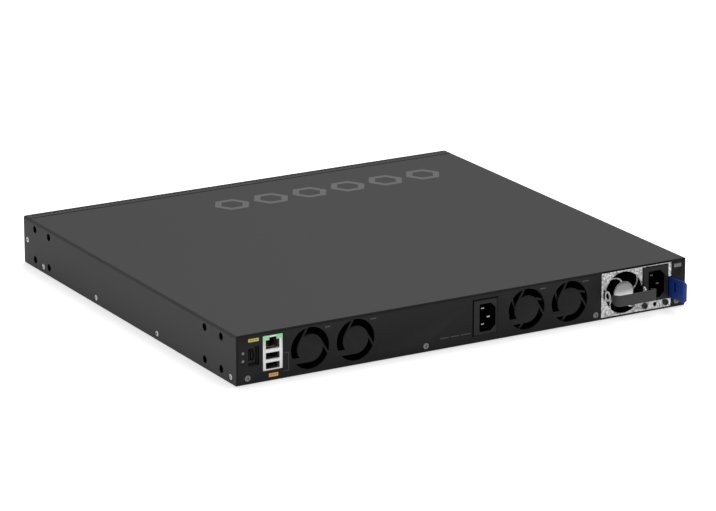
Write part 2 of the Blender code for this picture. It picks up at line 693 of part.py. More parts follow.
def supply_guard():
    """The four windows of the supply's fan guard, between curved spokes."""
    deep = 6.0
    x, z = PSU_FAN
    middle = (x, REAR_Y, z)
    bm = bmesh.new()
    add_rod(bm, middle, PSU_GUARD_OUT_R, deep, "Y", 48)
    windows = tool("supply_guard", bm, middle)
    bm = bmesh.new()
    add_rod(bm, middle, PSU_GUARD_IN_R, deep + 2, "Y", 32)
    boolean(windows, "DIFFERENCE", tool("supply_guard_disc", bm, middle))
    spoke = 1.4
    steps = 6
    reach = PSU_GUARD_OUT_R + 1
    for number, start in enumerate(PSU_SPOKE_STARTS):
        bm = bmesh.new()
        rails = []
        for step in range(steps + 1):
            share = step / steps
            radius = PSU_GUARD_IN_R - 1 + share * (reach - PSU_GUARD_IN_R + 1)
            angle = math.radians(start + 14 * share + 25 * share * share)
            across = spoke / 2 / radius
            ends = [(radius * math.cos(angle + side * across), radius * math.sin(angle + side * across))
                    for side in (-1, 1)]
            rails.append([bm.verts.new((a * MM, -deep * MM, b * MM)) for a, b in ends])
        for near, far in zip(rails, rails[1:]):
            bm.faces.new((near[0], near[1], far[1], far[0]))
        blade = tool(f"supply_spoke_{number}", bm)
        blade.location = Vector(middle) * MM
        thick = blade.modifiers.new("thick", "SOLIDIFY")
        thick.thickness = 2 * deep * MM
        thick.offset = -1 if rails_face_out(blade) else 1
        boolean(windows, "DIFFERENCE", blade)
    return windows


def rails_face_out(obj):
    """Whether an upright strip's faces look to the rear."""
    return obj.data.polygons[0].normal.y < 0


def supply_face():
    """The slide-in supply's rear plate."""
    face = box_part("psu_face", (PSU_X[0], REAR_Y, PSU_Z[0]), (PSU_X[1], REAR_Y + 1.0, PSU_Z[1]), ZINC)
    low, high = PSU_INLET_HOLE
    latch_slot = ((high[0] - 1, REAR_Y - 3, LATCH_Z[0] - 1), (PSU_X[1] + 3, REAR_Y + 4, LATCH_Z[1] + 1))
    cut_boxes(face, [((low[0], REAR_Y - 3, low[1]), (high[0], REAR_Y + 4, high[1]))])
    cut_boxes(face, [latch_slot])
    bm = bmesh.new()
    for x in PSU_SCREWS_X:
        add_rod(bm, (x, REAR_Y, PSU_LOW_Z), SHANK_HOLE_R, 6, "Y", 12)
    add_rod(bm, (PSU_LED_X, REAR_Y, PSU_LOW_Z), 1.9, 6, "Y", 12)
    cut(face, bm)
    boolean(face, "DIFFERENCE", supply_guard())
    return face


def supply_case():
    """The slide-in supply's box: open at the rear, slotted at its inner end and for the latch."""
    near_y = REAR_Y + 1.0 + GAP
    case = box_part("psu_case", (PSU_X[0], near_y, PSU_Z[0]), (PSU_X[1], PSU_END_Y, PSU_Z[1]), ZINC)
    wall = PSU_WALL
    inner = ((PSU_X[0] + wall, near_y - 5, PSU_Z[0] + wall),
             (PSU_X[1] - wall, PSU_END_Y - wall, PSU_Z[1] - wall))
    cut_boxes(case, [inner])
    end = (PSU_END_Y - 4, PSU_END_Y + 4)
    holes = [((148.5, end[0], 12.2), (191.5, end[1], 14.4)),
             ((PSU_X[1] - 3, near_y - 5, LATCH_Z[0] - 1), (PSU_X[1] + 3, -178, LATCH_Z[1] + 1))]
    for index in range(9):
        x = 141 + index * 7
        holes.append(((x, end[0], 19), (x + 4, end[1], 37)))
    cut_boxes(case, holes)
    return case


def supply_handle():
    """Strap handle: a bent strip that stands out from the supply's face."""
    bm = bmesh.new()
    half = HANDLE_THICK / 2
    left = HANDLE_X[0] + half
    right = HANDLE_X[1] - half
    root_y = REAR_Y - INLET_PROUD - GAP
    out_y = REAR_Y - HANDLE_OUT + half
    bend = 5.0
    steps = 5
    path = [(left, root_y)]
    for step in range(steps + 1):
        angle = math.radians(180 + 90 * step / steps)
        path.append((left + bend + bend * math.cos(angle), out_y + bend + bend * math.sin(angle)))
    for step in range(steps + 1):
        angle = math.radians(270 + 90 * step / steps)
        path.append((right - bend + bend * math.cos(angle), out_y + bend + bend * math.sin(angle)))
    path.append((right, root_y))
    low = [bm.verts.new((x * MM, y * MM, HANDLE_Z[0] * MM)) for x, y in path]
    high = [bm.verts.new((x * MM, y * MM, HANDLE_Z[1] * MM)) for x, y in path]
    for index in range(len(path) - 1):
        bm.faces.new((low[index], low[index + 1], high[index + 1], high[index]))
    handle = part("psu_handle", bm, STRAP_GREY)
    thick = handle.modifiers.new("thick", "SOLIDIFY")
    thick.thickness = HANDLE_THICK * MM
    thick.offset = 0
    thick.use_even_offset = True
    return handle


def supply_latch():
    """Release lever: a thin upright plate from its barrel, just inside the supply, out past the face."""
    pin_x, pin_y = LATCH_PIVOT
    low_z, high_z = LATCH_Z
    middle_z = (low_z + high_z) / 2
    bm = bmesh.new()
    add_box(bm, (LATCH_X[0], LATCH_END_Y, low_z), (LATCH_X[1], pin_y, high_z))
    lever = part("psu_latch", bm, BLUE_PLASTIC, (pin_x, pin_y, 0))
    bm = bmesh.new()
    add_box(bm, (LATCH_X[0], LATCH_END_Y, low_z + 1), (LATCH_X[1], LATCH_END_Y + 14, LATCH_END_TOP))
    join(lever, bm)
    bm = bmesh.new()
    add_box(bm, (LATCH_X[1] - 0.5, -195.5, 18), (BAY_X[1] - GAP, -191.5, 23))
    join(lever, bm)
    bm = bmesh.new()
    add_rod(bm, (pin_x, pin_y, middle_z), LATCH_BARREL_R, high_z - low_z, "Z", 20)
    join(lever, bm)
    bm = bmesh.new()
    add_rod(bm, (pin_x, pin_y, middle_z), LATCH_PIN_R + GAP, 40, "Z", 16)
    cut(lever, bm)
    bm = bmesh.new()
    pin_length = PSU_Z[1] - PSU_Z[0] - 2 * (PSU_WALL + GAP)
    add_rod(bm, (pin_x, pin_y, sum(PSU_Z) / 2), LATCH_PIN_R, pin_length, "Z", 12)
    pin = part("psu_latch_pin", bm, STEEL, (pin_x, pin_y, 0))
    return lever, pin


def supply_insides():
    """Board with its edge contacts, a heatsink and a capacitor."""
    board = box_part("psu_board", (136, -164, 12.5), (199, -19.5, 14.1), BOARD_GREEN)
    bm = bmesh.new()
    add_box(bm, (150, -25, 12.5), (190, -9.0, 14.1))
    join(board, bm)
    sink = box_part("psu_heatsink", (138, -128, 14.4), (168, -58, 38), ALUMINIUM)
    fins = 5
    slots = []
    for index in range(fins):
        left = 138 + 2 + index * 5.6
        slots.append(((left, -140, 18), (left + 3.6, -50, 45)))
    cut_boxes(sink, slots)
    profile = ((0, 38), (9, 38), (10, 37), (10, 14.4), (0, 14.4))
    capacitor = turned("psu_capacitor", profile, BLACK_PLASTIC, (186, -110, 0), (0, 0, 0), steps=24)
    return board, sink, capacitor


def slide_in_supply():
    """The whole slide-in supply, hung from an empty on its travel."""
    module = pivot("psu_module", (sum(PSU_X) / 2, REAR_Y, PSU_Z[0]))
    pieces = [supply_face(), supply_case(), supply_handle(), *supply_insides()]
    fan_near = REAR_Y + 1.0 + GAP
    fan_far = fan_near + FAN_DEPTH
    fan_frame("psu_fan_frame", PSU_FAN, PSU_FAN_HALF, PSU_BORE_R, (fan_near, fan_far), fan_far - 3, 107)
    pieces.append(bpy.data.objects["psu_fan_frame"])
    low, high = PSU_INLET_HOLE
    body = (low[0] + GAP, low[1] + GAP, high[0] - GAP, high[1] - GAP)
    pins = ((187.6, 30.9), (187.6, 16.9), (191.8, 23.9))
    inlet_part("psu_inlet", body, (181.6, 12.2, 197.9, 36.0), pins, REAR_Y - INLET_PROUD, BLACK_PLASTIC)
    pieces.append(bpy.data.objects["psu_inlet"])
    for index, x in enumerate(PSU_SCREWS_X, 1):
        seat = (x, REAR_Y - 1.5, PSU_LOW_Z)
        pieces.append(screw_part(f"psu_screw_{index}", seat, "-Y", 1.2, BLACK_PLASTIC))
    pieces.append(lens("psu_light", (PSU_LED_X, REAR_Y - 0.2, PSU_LOW_Z), 1.6, 8, LENS))
    spin = pivot("psu_fan_axis", (PSU_FAN[0], fan_near, PSU_FAN[1]), module)
    hang(fan_rotor("psu_fan_rotor", PSU_FAN, (fan_near + 1, fan_far - 3.6), 9.0, 15.9), spin)
    hinge = pivot("psu_latch_axis", (LATCH_PIVOT[0], LATCH_PIVOT[1], 20), module)
    lever, pin = supply_latch()
    hang(lever, hinge)
    pieces.append(pin)
    for piece in pieces:
        hang(piece, module)


base_tray()
top_cover()
rear_panel()
chassis_screws()
status_lights()
front_bezel()
front_panel()
port_blocks()
sfp_cage()
front_controls()
main_board()
switch_chip()
service_ports()
chassis_fans()
built_in_supply()
supply_bay()
slide_in_supply()
for piece in PARTS.objects:
    if piece.type == "MESH" and piece.modifiers and piece.modifiers[0].type == "SCREW":
        shade_round(piece)
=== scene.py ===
"""Looks of the rackmount network switch: finishes, fine shapes, floor, light and camera.

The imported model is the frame: metres, +Z up, rear face towards -Y. The helpers here take
millimetres and turn them into metres.
"""
import json
import math

import bmesh
import bpy
from mathutils import Matrix, Vector


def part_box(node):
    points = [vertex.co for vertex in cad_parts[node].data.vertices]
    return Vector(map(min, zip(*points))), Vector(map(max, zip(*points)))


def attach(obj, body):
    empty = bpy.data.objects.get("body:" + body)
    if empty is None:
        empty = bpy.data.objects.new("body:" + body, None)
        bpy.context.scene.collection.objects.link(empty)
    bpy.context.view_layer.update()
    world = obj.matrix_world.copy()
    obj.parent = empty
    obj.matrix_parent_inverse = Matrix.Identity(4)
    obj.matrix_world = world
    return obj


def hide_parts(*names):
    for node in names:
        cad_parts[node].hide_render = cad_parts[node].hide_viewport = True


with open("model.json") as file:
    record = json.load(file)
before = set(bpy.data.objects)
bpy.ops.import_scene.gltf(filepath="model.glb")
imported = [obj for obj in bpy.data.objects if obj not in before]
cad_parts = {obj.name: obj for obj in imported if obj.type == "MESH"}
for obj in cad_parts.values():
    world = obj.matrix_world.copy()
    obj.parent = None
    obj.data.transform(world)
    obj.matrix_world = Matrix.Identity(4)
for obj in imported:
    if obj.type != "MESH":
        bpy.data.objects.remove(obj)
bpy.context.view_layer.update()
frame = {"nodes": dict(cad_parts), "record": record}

MM = 0.001
NODES = frame["nodes"]
SLOTS = {entry["node"]: entry["material_slot"] for entry in frame["record"]["subparts"]}

HALF_WIDTH = 220.0
REAR_Y = -200.0
HEIGHT = 43.2
SHEET = 1.2
EAR_ROWS_Y = (-174.5, -145.8, 149.2, 177.3)
EAR_ROWS_Z = (8.0, 36.0)
COVER_END_Y = 188.0
FAN_Z = 22.0
FAN_CENTRES = {"fan_1_rotor": (-151.0, FAN_Z), "fan_2_rotor": (-108.0, FAN_Z), "fan_3_rotor": (58.5, FAN_Z),
               "fan_4_rotor": (101.5, FAN_Z), "psu_fan_rotor": (156.6, 21.5)}
SHARP = math.radians(32)


# ---------------------------------------------------------------- finishes

DARK_AT = 0.30
LIGHT_AT = 0.70


def finish(name, dark, light, rough, metallic=0.0, scale=900.0, bump=0.15, depth=0.00003,
           pattern="grain", stretch=(1.0, 1.0, 1.0), shine=0.5):
    """A procedural finish: a fine pattern between two tones, slow clouds, roughness and relief."""
    cloud_scale = 5.0
    cloud_share = 0.35
    material = bpy.data.materials.new(name)
    material.use_nodes = True
    nodes = material.node_tree.nodes
    links = material.node_tree.links
    shader = nodes["Principled BSDF"]
    shader.inputs["Metallic"].default_value = metallic
    shader.inputs["Specular IOR Level"].default_value = shine
    place = nodes.new("ShaderNodeTexCoord")
    mapping = nodes.new("ShaderNodeMapping")
    mapping.inputs["Scale"].default_value = stretch
    links.new(place.outputs["Object"], mapping.inputs["Vector"])
    if pattern == "spangle":
        fine = nodes.new("ShaderNodeTexVoronoi")
        fine.inputs["Scale"].default_value = scale
        fine_out = fine.outputs["Color"]
    else:
        fine = nodes.new("ShaderNodeTexNoise")
        fine.inputs["Scale"].default_value = scale
        fine.inputs["Detail"].default_value = 3.0
        fine_out = fine.outputs["Fac"]
    links.new(mapping.outputs["Vector"], fine.inputs["Vector"])
    clouds = nodes.new("ShaderNodeTexNoise")
    clouds.inputs["Scale"].default_value = cloud_scale
    clouds.inputs["Detail"].default_value = 2.0
    links.new(place.outputs["Object"], clouds.inputs["Vector"])
    both = nodes.new("ShaderNodeMix")
    both.data_type = "FLOAT"
    both.inputs["Factor"].default_value = cloud_share
    links.new(fine_out, both.inputs["A"])
    links.new(clouds.outputs["Fac"], both.inputs["B"])
    tone = nodes.new("ShaderNodeValToRGB")
    tone.color_ramp.elements[0].position = DARK_AT
    tone.color_ramp.elements[1].position = LIGHT_AT
    tone.color_ramp.elements[0].color = (*dark, 1.0)
    tone.color_ramp.elements[1].color = (*light, 1.0)
    links.new(both.outputs["Result"], tone.inputs["Fac"])
    links.new(tone.outputs["Color"], shader.inputs["Base Color"])
    spread = nodes.new("ShaderNodeMapRange")
    spread.inputs["From Min"].default_value = 0.25
    spread.inputs["From Max"].default_value = 0.75
    spread.inputs["To Min"].default_value = rough[0]
    spread.inputs["To Max"].default_value = rough[1]
    links.new(both.outputs["Result"], spread.inputs["Value"])
    links.new(spread.outputs["Result"], shader.inputs["Roughness"])
    relief = nodes.new("ShaderNodeBump")
    relief.inputs["Strength"].default_value = bump
    relief.inputs["Distance"].default_value = depth
    links.new(fine_out, relief.inputs["Height"])
    links.new(relief.outputs["Normal"], shader.inputs["Normal"])
    return material


def graded(name, low_z, high_z, low_tone, high_tone, rough):
    """A finish whose tone runs from one grey to another with height, over a fine grain: a painted reflection.
    """
    material = finish(name, grey(low_tone), grey(high_tone), rough, 0.7, scale=1500, bump=0.1,
                      shine=0.3)
    nodes = material.node_tree.nodes
    links = material.node_tree.links
    place = next(node for node in nodes if node.type == "TEX_COORD")
    tone = next(node for node in nodes if node.type == "VALTORGB")
    split = nodes.new("ShaderNodeSeparateXYZ")
    links.new(place.outputs["Object"], split.inputs["Vector"])
    climb = nodes.new("ShaderNodeMapRange")
    climb.inputs["From Min"].default_value = low_z * MM
    climb.inputs["From Max"].default_value = high_z * MM
    climb.inputs["To Min"].default_value = DARK_AT
    climb.inputs["To Max"].default_value = LIGHT_AT
    links.new(split.outputs["Z"], climb.inputs["Value"])
    links.new(climb.outputs["Result"], tone.inputs["Fac"])
    return material


def grey(value):
    """A neutral grey."""
    return (value, value, value)


COVER = finish("cover_coat", grey(0.030), grey(0.037), (0.55, 0.65), scale=1700, bump=0.25, shine=0.16)
PANEL = finish("panel_coat", grey(0.011), grey(0.015), (0.55, 0.65), scale=1700, bump=0.25, shine=0.12)
# Painted shade: near black and without shine, laid on hole walls, wells, linings and gap strips where shade
# falls.
SHADE = finish("painted_shade", grey(0.002), grey(0.004), (0.8, 0.9), scale=1700, bump=0.1, shine=0.0)
ZINC = finish("zinc_plate", grey(0.42), grey(0.66), (0.30, 0.48), 0.9, scale=260, pattern="spangle",
              bump=0.05)
FACE_ZINC = finish("face_zinc", grey(0.27), grey(0.78), (0.32, 0.55), 0.7, scale=700, pattern="spangle",
                   bump=0.3, depth=0.00008)
SHIELD = finish("port_shield", grey(0.50), grey(0.66), (0.25, 0.38), 0.9, scale=500, stretch=(1, 1, 0.1),
                bump=0.05)
STEEL = finish("screw_steel", grey(0.36), grey(0.60), (0.25, 0.40), 1.0, scale=1200, bump=0.1)
EYELET = finish("plated_eyelet", grey(0.70), grey(0.86), (0.30, 0.42), 0.5, scale=1200, bump=0.1)
REAR_SCREW = finish("dark_screw", grey(0.16), grey(0.24), (0.45, 0.6), 0.3, scale=1200, bump=0.1)
BLACK_SCREW = finish("black_screw", grey(0.010), grey(0.022), (0.35, 0.5), 0.4, scale=1200, bump=0.1)
BLACK = finish("moulded_black", grey(0.005), grey(0.008), (0.38, 0.52), scale=2200, bump=0.2, shine=0.25)
INLET = finish("inlet_black", grey(0.006), grey(0.009), (0.45, 0.6), scale=2200, bump=0.2, shine=0.25)
FAN = finish("fan_plastic", grey(0.002), grey(0.004), (0.6, 0.75), scale=1500, bump=0.15, shine=0.0)
STRUT = finish("strut_plastic", grey(0.030), grey(0.045), (0.6, 0.75), scale=1500, bump=0.1, shine=0.1)
CONTACT = finish("contact_metal", grey(0.42), grey(0.52), (0.4, 0.5), 0.3, scale=1200, bump=0.1)
BLADE = finish("inlet_blade", grey(0.13), grey(0.17), (0.45, 0.6), 0.2, scale=1200, bump=0.1, shine=0.2)
BOARD = finish("board_mask", (0.012, 0.055, 0.030), (0.03, 0.12, 0.06), (0.35, 0.5), scale=350,
               pattern="spangle")
ALUMINIUM = finish("fin_aluminium", grey(0.52), grey(0.68), (0.28, 0.42), 1.0, scale=600,
                   stretch=(1, 0.05, 1))
BLUE = finish("blue_plastic", (0.007, 0.028, 0.17), (0.012, 0.042, 0.24), (0.34, 0.46), scale=1600,
              bump=0.12, shine=0.3)
# A darker blue as painted shade for the lever's finger recess.
RECESS_SHADE_BLUE = finish("recess_shade_blue", (0.003, 0.008, 0.05), (0.004, 0.012, 0.07), (0.5, 0.6), scale=1600,
                   bump=0.1, shine=0.1)
STRAP = finish("strap_plastic", grey(0.022), grey(0.058), (0.55, 0.68), scale=1300, bump=0.4, shine=0.25)
LENS = finish("light_lens", grey(0.12), grey(0.18), (0.25, 0.35), scale=900, bump=0.05)
# Painted reflection: the disc is bright low down, where the floor would be mirrored, and dark at the top.
DISC_REFLECTION = graded("guard_disc_reflection", 23.0, 31.5, 0.92, 0.17, (0.45, 0.55))
GREEN_LENS = finish("green_lens", (0.20, 0.60, 0.27), (0.32, 0.76, 0.39), (0.25, 0.35), scale=900, bump=0.05)
GOLD = finish("gold_contact", (0.60, 0.40, 0.14), (0.80, 0.58, 0.24), (0.2, 0.32), 1.0, scale=1500, bump=0.05)
PRINT = finish("pale_print", grey(0.13), grey(0.17), (0.55, 0.65), scale=1700, bump=0.15)
FAINT = finish("faint_print", grey(0.055), grey(0.070), (0.55, 0.65), scale=1700, bump=0.15)
MOTIF = finish("motif_print", grey(0.058), grey(0.068), (0.50, 0.60), scale=1700, bump=0.25)
YELLOW = finish("yellow_tag", (0.42, 0.39, 0.040), (0.53, 0.49, 0.060), (0.5, 0.6), scale=1500, bump=0.1)
ORANGE = finish("orange_tag", (0.68, 0.30, 0.060), (0.80, 0.38, 0.090), (0.5, 0.6), scale=1500, bump=0.1)
TAN = finish("tan_print", (0.055, 0.042, 0.028), (0.070, 0.055, 0.038), (0.5, 0.6), scale=1500, bump=0.1)

BY_SLOT = {"cover_paint": COVER, "panel_paint": PANEL, "zinc": ZINC, "steel": STEEL, "black_plastic": BLACK,
           "fan_plastic": FAN, "circuit_board": BOARD, "aluminium": ALUMINIUM, "blue_plastic": BLUE,
           "strap_grey": STRAP, "lens": LENS}


# ---------------------------------------------------------------- helpers

def add_box(bm, low, high):
    """Adds a box between two corners and returns its vertices."""
    made = bmesh.ops.create_cube(bm, size=1.0)["verts"]
    low = Vector(low) * MM
    high = Vector(high) * MM
    place = Matrix.Translation((low + high) / 2) @ Matrix.Diagonal(high - low).to_4x4()
    bmesh.ops.transform(bm, matrix=place, verts=made)
    return made


TURNS = {"X": Matrix.Rotation(math.pi / 2, 4, "Y"), "Z": Matrix.Identity(4)}
FACINGS = {"-X": Matrix.Rotation(-math.pi / 2, 4, "Y"), "+X": Matrix.Rotation(math.pi / 2, 4, "Y"),
           "-Y": Matrix.Rotation(math.pi / 2, 4, "X")}


def add_rod(bm, centre, radius, length, axis, sides=32):
    """Adds a cylinder centred on a point, along X or Z."""
    bmesh.ops.create_cone(bm, cap_ends=True, segments=sides, radius1=radius * MM, radius2=radius * MM,
                          depth=length * MM, matrix=Matrix.Translation(Vector(centre) * MM) @ TURNS[axis])


def add_turned(bm, profile, seat, facing, sides=32):
    """Adds a turned shape: (radius, height) points from the top down, about the axis that it faces along."""
    place = Matrix.Translation(Vector(seat) * MM) @ FACINGS[facing]
    rings = []
    for radius, height in profile:
        count = 1 if radius == 0 else sides
        ring = [bm.verts.new(place @ Vector((radius * math.cos(2 * math.pi * k / sides) * MM,
                                             radius * math.sin(2 * math.pi * k / sides) * MM, height * MM)))
                for k in range(count)]
        rings.append(ring)
    for upper, lower in zip(rings, rings[1:]):
        for k in range(sides):
            corners = [upper[k % len(upper)], lower[k % len(lower)],
                       lower[(k + 1) % len(lower)], upper[(k + 1) % len(upper)]]
            bm.faces.new(list(dict.fromkeys(corners)))


def add_ring(bm, inner, outer, top, foot, seat, facing):
    """Adds a flat ring between two radii and two heights, about the axis that it faces along."""
    profile = ((inner, top), (outer, top), (outer, foot), (inner, foot), (inner, top))
    add_turned(bm, profile, seat, facing)
    bmesh.ops.remove_doubles(bm, verts=bm.verts, dist=0.000001)


def add_prism(bm, outline, near_y, far_y):
    """Adds an (x, z) outline, given anticlockwise as seen from the rear, drawn out along Y."""
    near = [bm.verts.new((x * MM, near_y * MM, z * MM)) for x, z in outline]
    far = [bm.verts.new((x * MM, far_y * MM, z * MM)) for x, z in outline]
    bm.faces.new(near)
    bm.faces.new(list(reversed(far)))
    count = len(outline)
    for k in range(count):
        after = (k + 1) % count
        bm.faces.new((near[after], near[k], far[k], far[after]))


def rounded(low, high, radius):
    """(x, z) outline of a rectangle with round corners."""
    steps = 4
    centres = ((high[0] - radius, high[1] - radius, 0), (low[0] + radius, high[1] - radius, 90),
               (low[0] + radius, low[1] + radius, 180), (high[0] - radius, low[1] + radius, 270))
    points = []
    for x, z, start in centres:
        for step in range(steps + 1):
            angle = math.radians(start + 90 * step / steps)
            points.append((x + radius * math.cos(angle), z + radius * math.sin(angle)))
    return points


def shape(name, bm, material):
    """An object made from a bmesh, which it frees; shaded smooth with sharp corners."""
    bmesh.ops.recalc_face_normals(bm, faces=bm.faces)
    mesh = bpy.data.meshes.new(name)
    bm.to_mesh(mesh)
    bm.free()
    mesh.materials.append(material)
    mesh.shade_smooth()
    mesh.set_sharp_from_angle(angle=SHARP)
    obj = bpy.data.objects.new(name, mesh)
    bpy.context.scene.collection.objects.link(obj)
    return obj


def soften(obj, width, segments=2):
    """Rounds an object's sharp edges."""
    bevel = obj.modifiers.new("soft_edges", "BEVEL")
    bevel.width = width * MM
    bevel.segments = segments
    bevel.limit_method = "ANGLE"
    bevel.angle_limit = SHARP
    bevel.harden_normals = True
    bevel.miter_outer = "MITER_ARC"
    return obj


def bake(obj):
    """Applies an object's modifiers."""
    bpy.context.view_layer.update()
    result = obj.evaluated_get(bpy.context.evaluated_depsgraph_get())
    mesh = bpy.data.meshes.new_from_object(result)
    obj.modifiers.clear()
    obj.data = mesh
    return obj


def carve(obj, bm):
    """Cuts a bmesh out of an object, and applies the cut."""
    tool = shape("tool", bm, PANEL)
    cut = obj.modifiers.new("cut", "BOOLEAN")
    cut.operation = "DIFFERENCE"
    cut.solver = "EXACT"
    cut.object = tool
    bake(obj)
    bpy.data.objects.remove(tool, do_unlink=True)
    obj.data.shade_smooth()
    obj.data.set_sharp_from_angle(angle=SHARP)


def belong(obj, body, slot, *nodes):
    """Puts a piece on its body and hides the CAD nodes that it stands for; the slot is not used."""
    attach(obj, body)
    if nodes:
        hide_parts(*nodes)


def corners_of(node):
    """The low and the high corner of a CAD node's box, in millimetres."""
    low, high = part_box(node)
    return low / MM, high / MM


def middle_of(node):
    """The middle of a CAD node's box, in millimetres."""
    low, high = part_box(node)
    return tuple((low + high) / 2 / MM)


# ---------------------------------------------------------------- CAD nodes, dressed and refined

PLAIN_EDGE = 0.12
EDGE_WIDTHS = {"rear_panel": 0.2, "front_bezel": 0.5, "psu_face": 0.2, "service_port_stack": 0.25,
               "console_port": 0.2, "base_tray": 0.15, "front_panel": 0.15}


def dress_nodes():
    """Gives every CAD node its finish and soft edges; some faces get a second finish, painted shade among
    them.
    """
    # The supply's light is in painted shade.
    special = {"psu_face": FACE_ZINC, "service_port_stack": SHIELD, "port_block_1": SHIELD,
               "port_block_2": SHIELD, "sfp_cage": SHIELD, "psu_light": SHADE}
    for name, node in NODES.items():
        node.data.materials.clear()
        node.data.materials.append(special.get(name, BY_SLOT[SLOTS[name]]))
        node.data.shade_smooth()
        node.data.set_sharp_from_angle(angle=SHARP)
        weld = node.modifiers.new("weld", "WELD")
        weld.merge_threshold = 0.005 * MM
        soften(node, EDGE_WIDTHS.get(name, PLAIN_EDGE))
    for name in ("fan_3_frame", "fan_4_frame"):
        frame_mesh = NODES[name].data
        frame_mesh.materials.append(STRUT)
        behind_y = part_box(name)[0].y + MM
        for face in frame_mesh.polygons:
            if face.normal.y < -0.9 and face.center.y > behind_y:
                face.material_index = 1
    # The port stack's inside faces take painted shade, so its openings look dark.
    stack = NODES["service_port_stack"]
    stack.data.materials.append(SHADE)
    inside_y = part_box("service_port_stack")[0].y + 0.6 * MM
    for face in stack.data.polygons:
        if min(stack.data.vertices[index].co.y for index in face.vertices) > inside_y:
            face.material_index = 1


def front_bezel():
    """The bezel, with a row of narrow vents along its top strip and a groove where it meets the cover."""
    node = NODES["front_bezel"]
    bezel = node.copy()
    bezel.data = node.data.copy()
    bezel.modifiers.remove(bezel.modifiers["soft_edges"])
    bezel.name = "vented_bezel"
    bpy.context.scene.collection.objects.link(bezel)
    count = 106
    pitch = 4.05
    wide = 1.7
    vent_depth = 0.5
    seam_depth = 0.9
    seam_wide = 1.6
    above = 45.0
    bm = bmesh.new()
    for k in range(count):
        x = (k - (count - 1) / 2) * pitch
        add_box(bm, (x - wide / 2, 194.5, HEIGHT - vent_depth), (x + wide / 2, 199.2, above))
    carve(bezel, bm)
    bm = bmesh.new()
    add_box(bm, (-HALF_WIDTH - 10, COVER_END_Y - 8, HEIGHT - seam_depth),
            (HALF_WIDTH + 10, COVER_END_Y + seam_wide, above))
    carve(bezel, bm)
    soften(bezel, 0.25)
    belong(bezel, "chassis", "cover_paint", "front_bezel")


# ---------------------------------------------------------------- cover and screws

SIDES = ((-1, "-X"), (1, "+X"))
COVER_BEND = 1.6
EAR_HOLES = [(y, z) for y in EAR_ROWS_Y for z in EAR_ROWS_Z]
EAR_HOLE_R = 3.0


def bent_sheet():
    """The cover's sheet with its bent corners, as deep as the body and without holes."""
    bend = COVER_BEND
    steps = 6
    low_z = 0.3
    points = [(-HALF_WIDTH, low_z)]
    for side, start in ((-1, 180), (1, 90)):
        for step in range(steps + 1):
            angle = math.radians(start - 90 * step / steps)
            points.append((side * (HALF_WIDTH - bend) + bend * math.cos(angle),
                           HEIGHT - bend + bend * math.sin(angle)))
    points.append((HALF_WIDTH, low_z))
    bm = bmesh.new()
    rows = [[bm.verts.new((x * MM, y * MM, z * MM)) for x, z in points] for y in (REAR_Y, -REAR_Y)]
    for k in range(len(points) - 1):
        bm.faces.new((rows[0][k], rows[0][k + 1], rows[1][k + 1], rows[1][k]))
    bm.normal_update()
    if bm.faces[:][0].normal.x > 0:
        bmesh.ops.reverse_faces(bm, faces=bm.faces)
    mesh = bpy.data.meshes.new("cover_shell")
    bm.to_mesh(mesh)
    bm.free()
    mesh.materials.append(COVER)
    cover = bpy.data.objects.new("cover_shell", mesh)
    bpy.context.scene.collection.objects.link(cover)
    thick = cover.modifiers.new("sheet", "SOLIDIFY")
    thick.thickness = SHEET * MM
    thick.offset = -1
    thick.use_even_offset = True
    return bake(cover)


def drill_cover(cover):
    """Cuts the chamfered side holes for the rack ears and the screws."""
    screw_r = 2.9
    chamfer = 0.35
    bm = bmesh.new()
    holes = [(y, z, EAR_HOLE_R) for y, z in EAR_HOLES]
    for name in [f"cover_screw_{number}" for number in range(1, 5)] + ["bezel_screw_1"]:
        holes.append((*middle_of(name)[1:], screw_r))
    for y, z, radius in holes:
        wide = radius + chamfer
        profile = ((0, 1), (wide, 1), (wide, 0), (radius, -chamfer), (radius, -4), (0, -4))
        for side, facing in SIDES:
            add_turned(bm, profile, (side * HALF_WIDTH, y, z), facing, 28)
    carve(cover, bm)


def cover_shell():
    """The top cover: chamfered side holes with walls in painted shade, a groove along each flank, and rear
    edges darkened with the panel paint as painted shade.
    """
    cover = bent_sheet()
    drill_cover(cover)
    inner = HALF_WIDTH - SHEET
    # The cutter goes a little into the flanks: sharing their inner faces would leave stray faces.
    past = inner + 0.02
    over = 5
    groove_z = HEIGHT - COVER_BEND - 0.2
    groove_wide = 0.35
    groove_depth = 0.3
    bm = bmesh.new()
    add_box(bm, (-past, COVER_END_Y, -over), (past, over - REAR_Y, HEIGHT + over))
    for side, _ in SIDES:
        x0, x1 = sorted((side * (HALF_WIDTH - groove_depth), side * (HALF_WIDTH + 2)))
        add_box(bm, (x0, REAR_Y - over, groove_z - groove_wide), (x1, over - REAR_Y, groove_z))
    carve(cover, bm)
    cover.data.materials.append(PANEL)
    cover.data.materials.append(SHADE)
    # Painted shade: the ear-hole walls take the near-black shade finish, and faces looking to the rear take
    # the darker panel paint as a shade line at the seam.
    for face in cover.data.polygons:
        middle = face.center / MM
        near_hole = any(math.hypot(middle.y - y, middle.z - z) < EAR_HOLE_R + 0.3 for y, z in EAR_HOLES)
        if near_hole and abs(middle.x) > inner - 0.1:
            face.material_index = 2
        elif face.normal.y < -0.9:
            face.material_index = 1
    soften(cover, 0.14)
    even = cover.modifiers.new("even_light", "WEIGHTED_NORMAL")
    even.keep_sharp = True
    belong(cover, "chassis", "cover_paint", "top_cover")


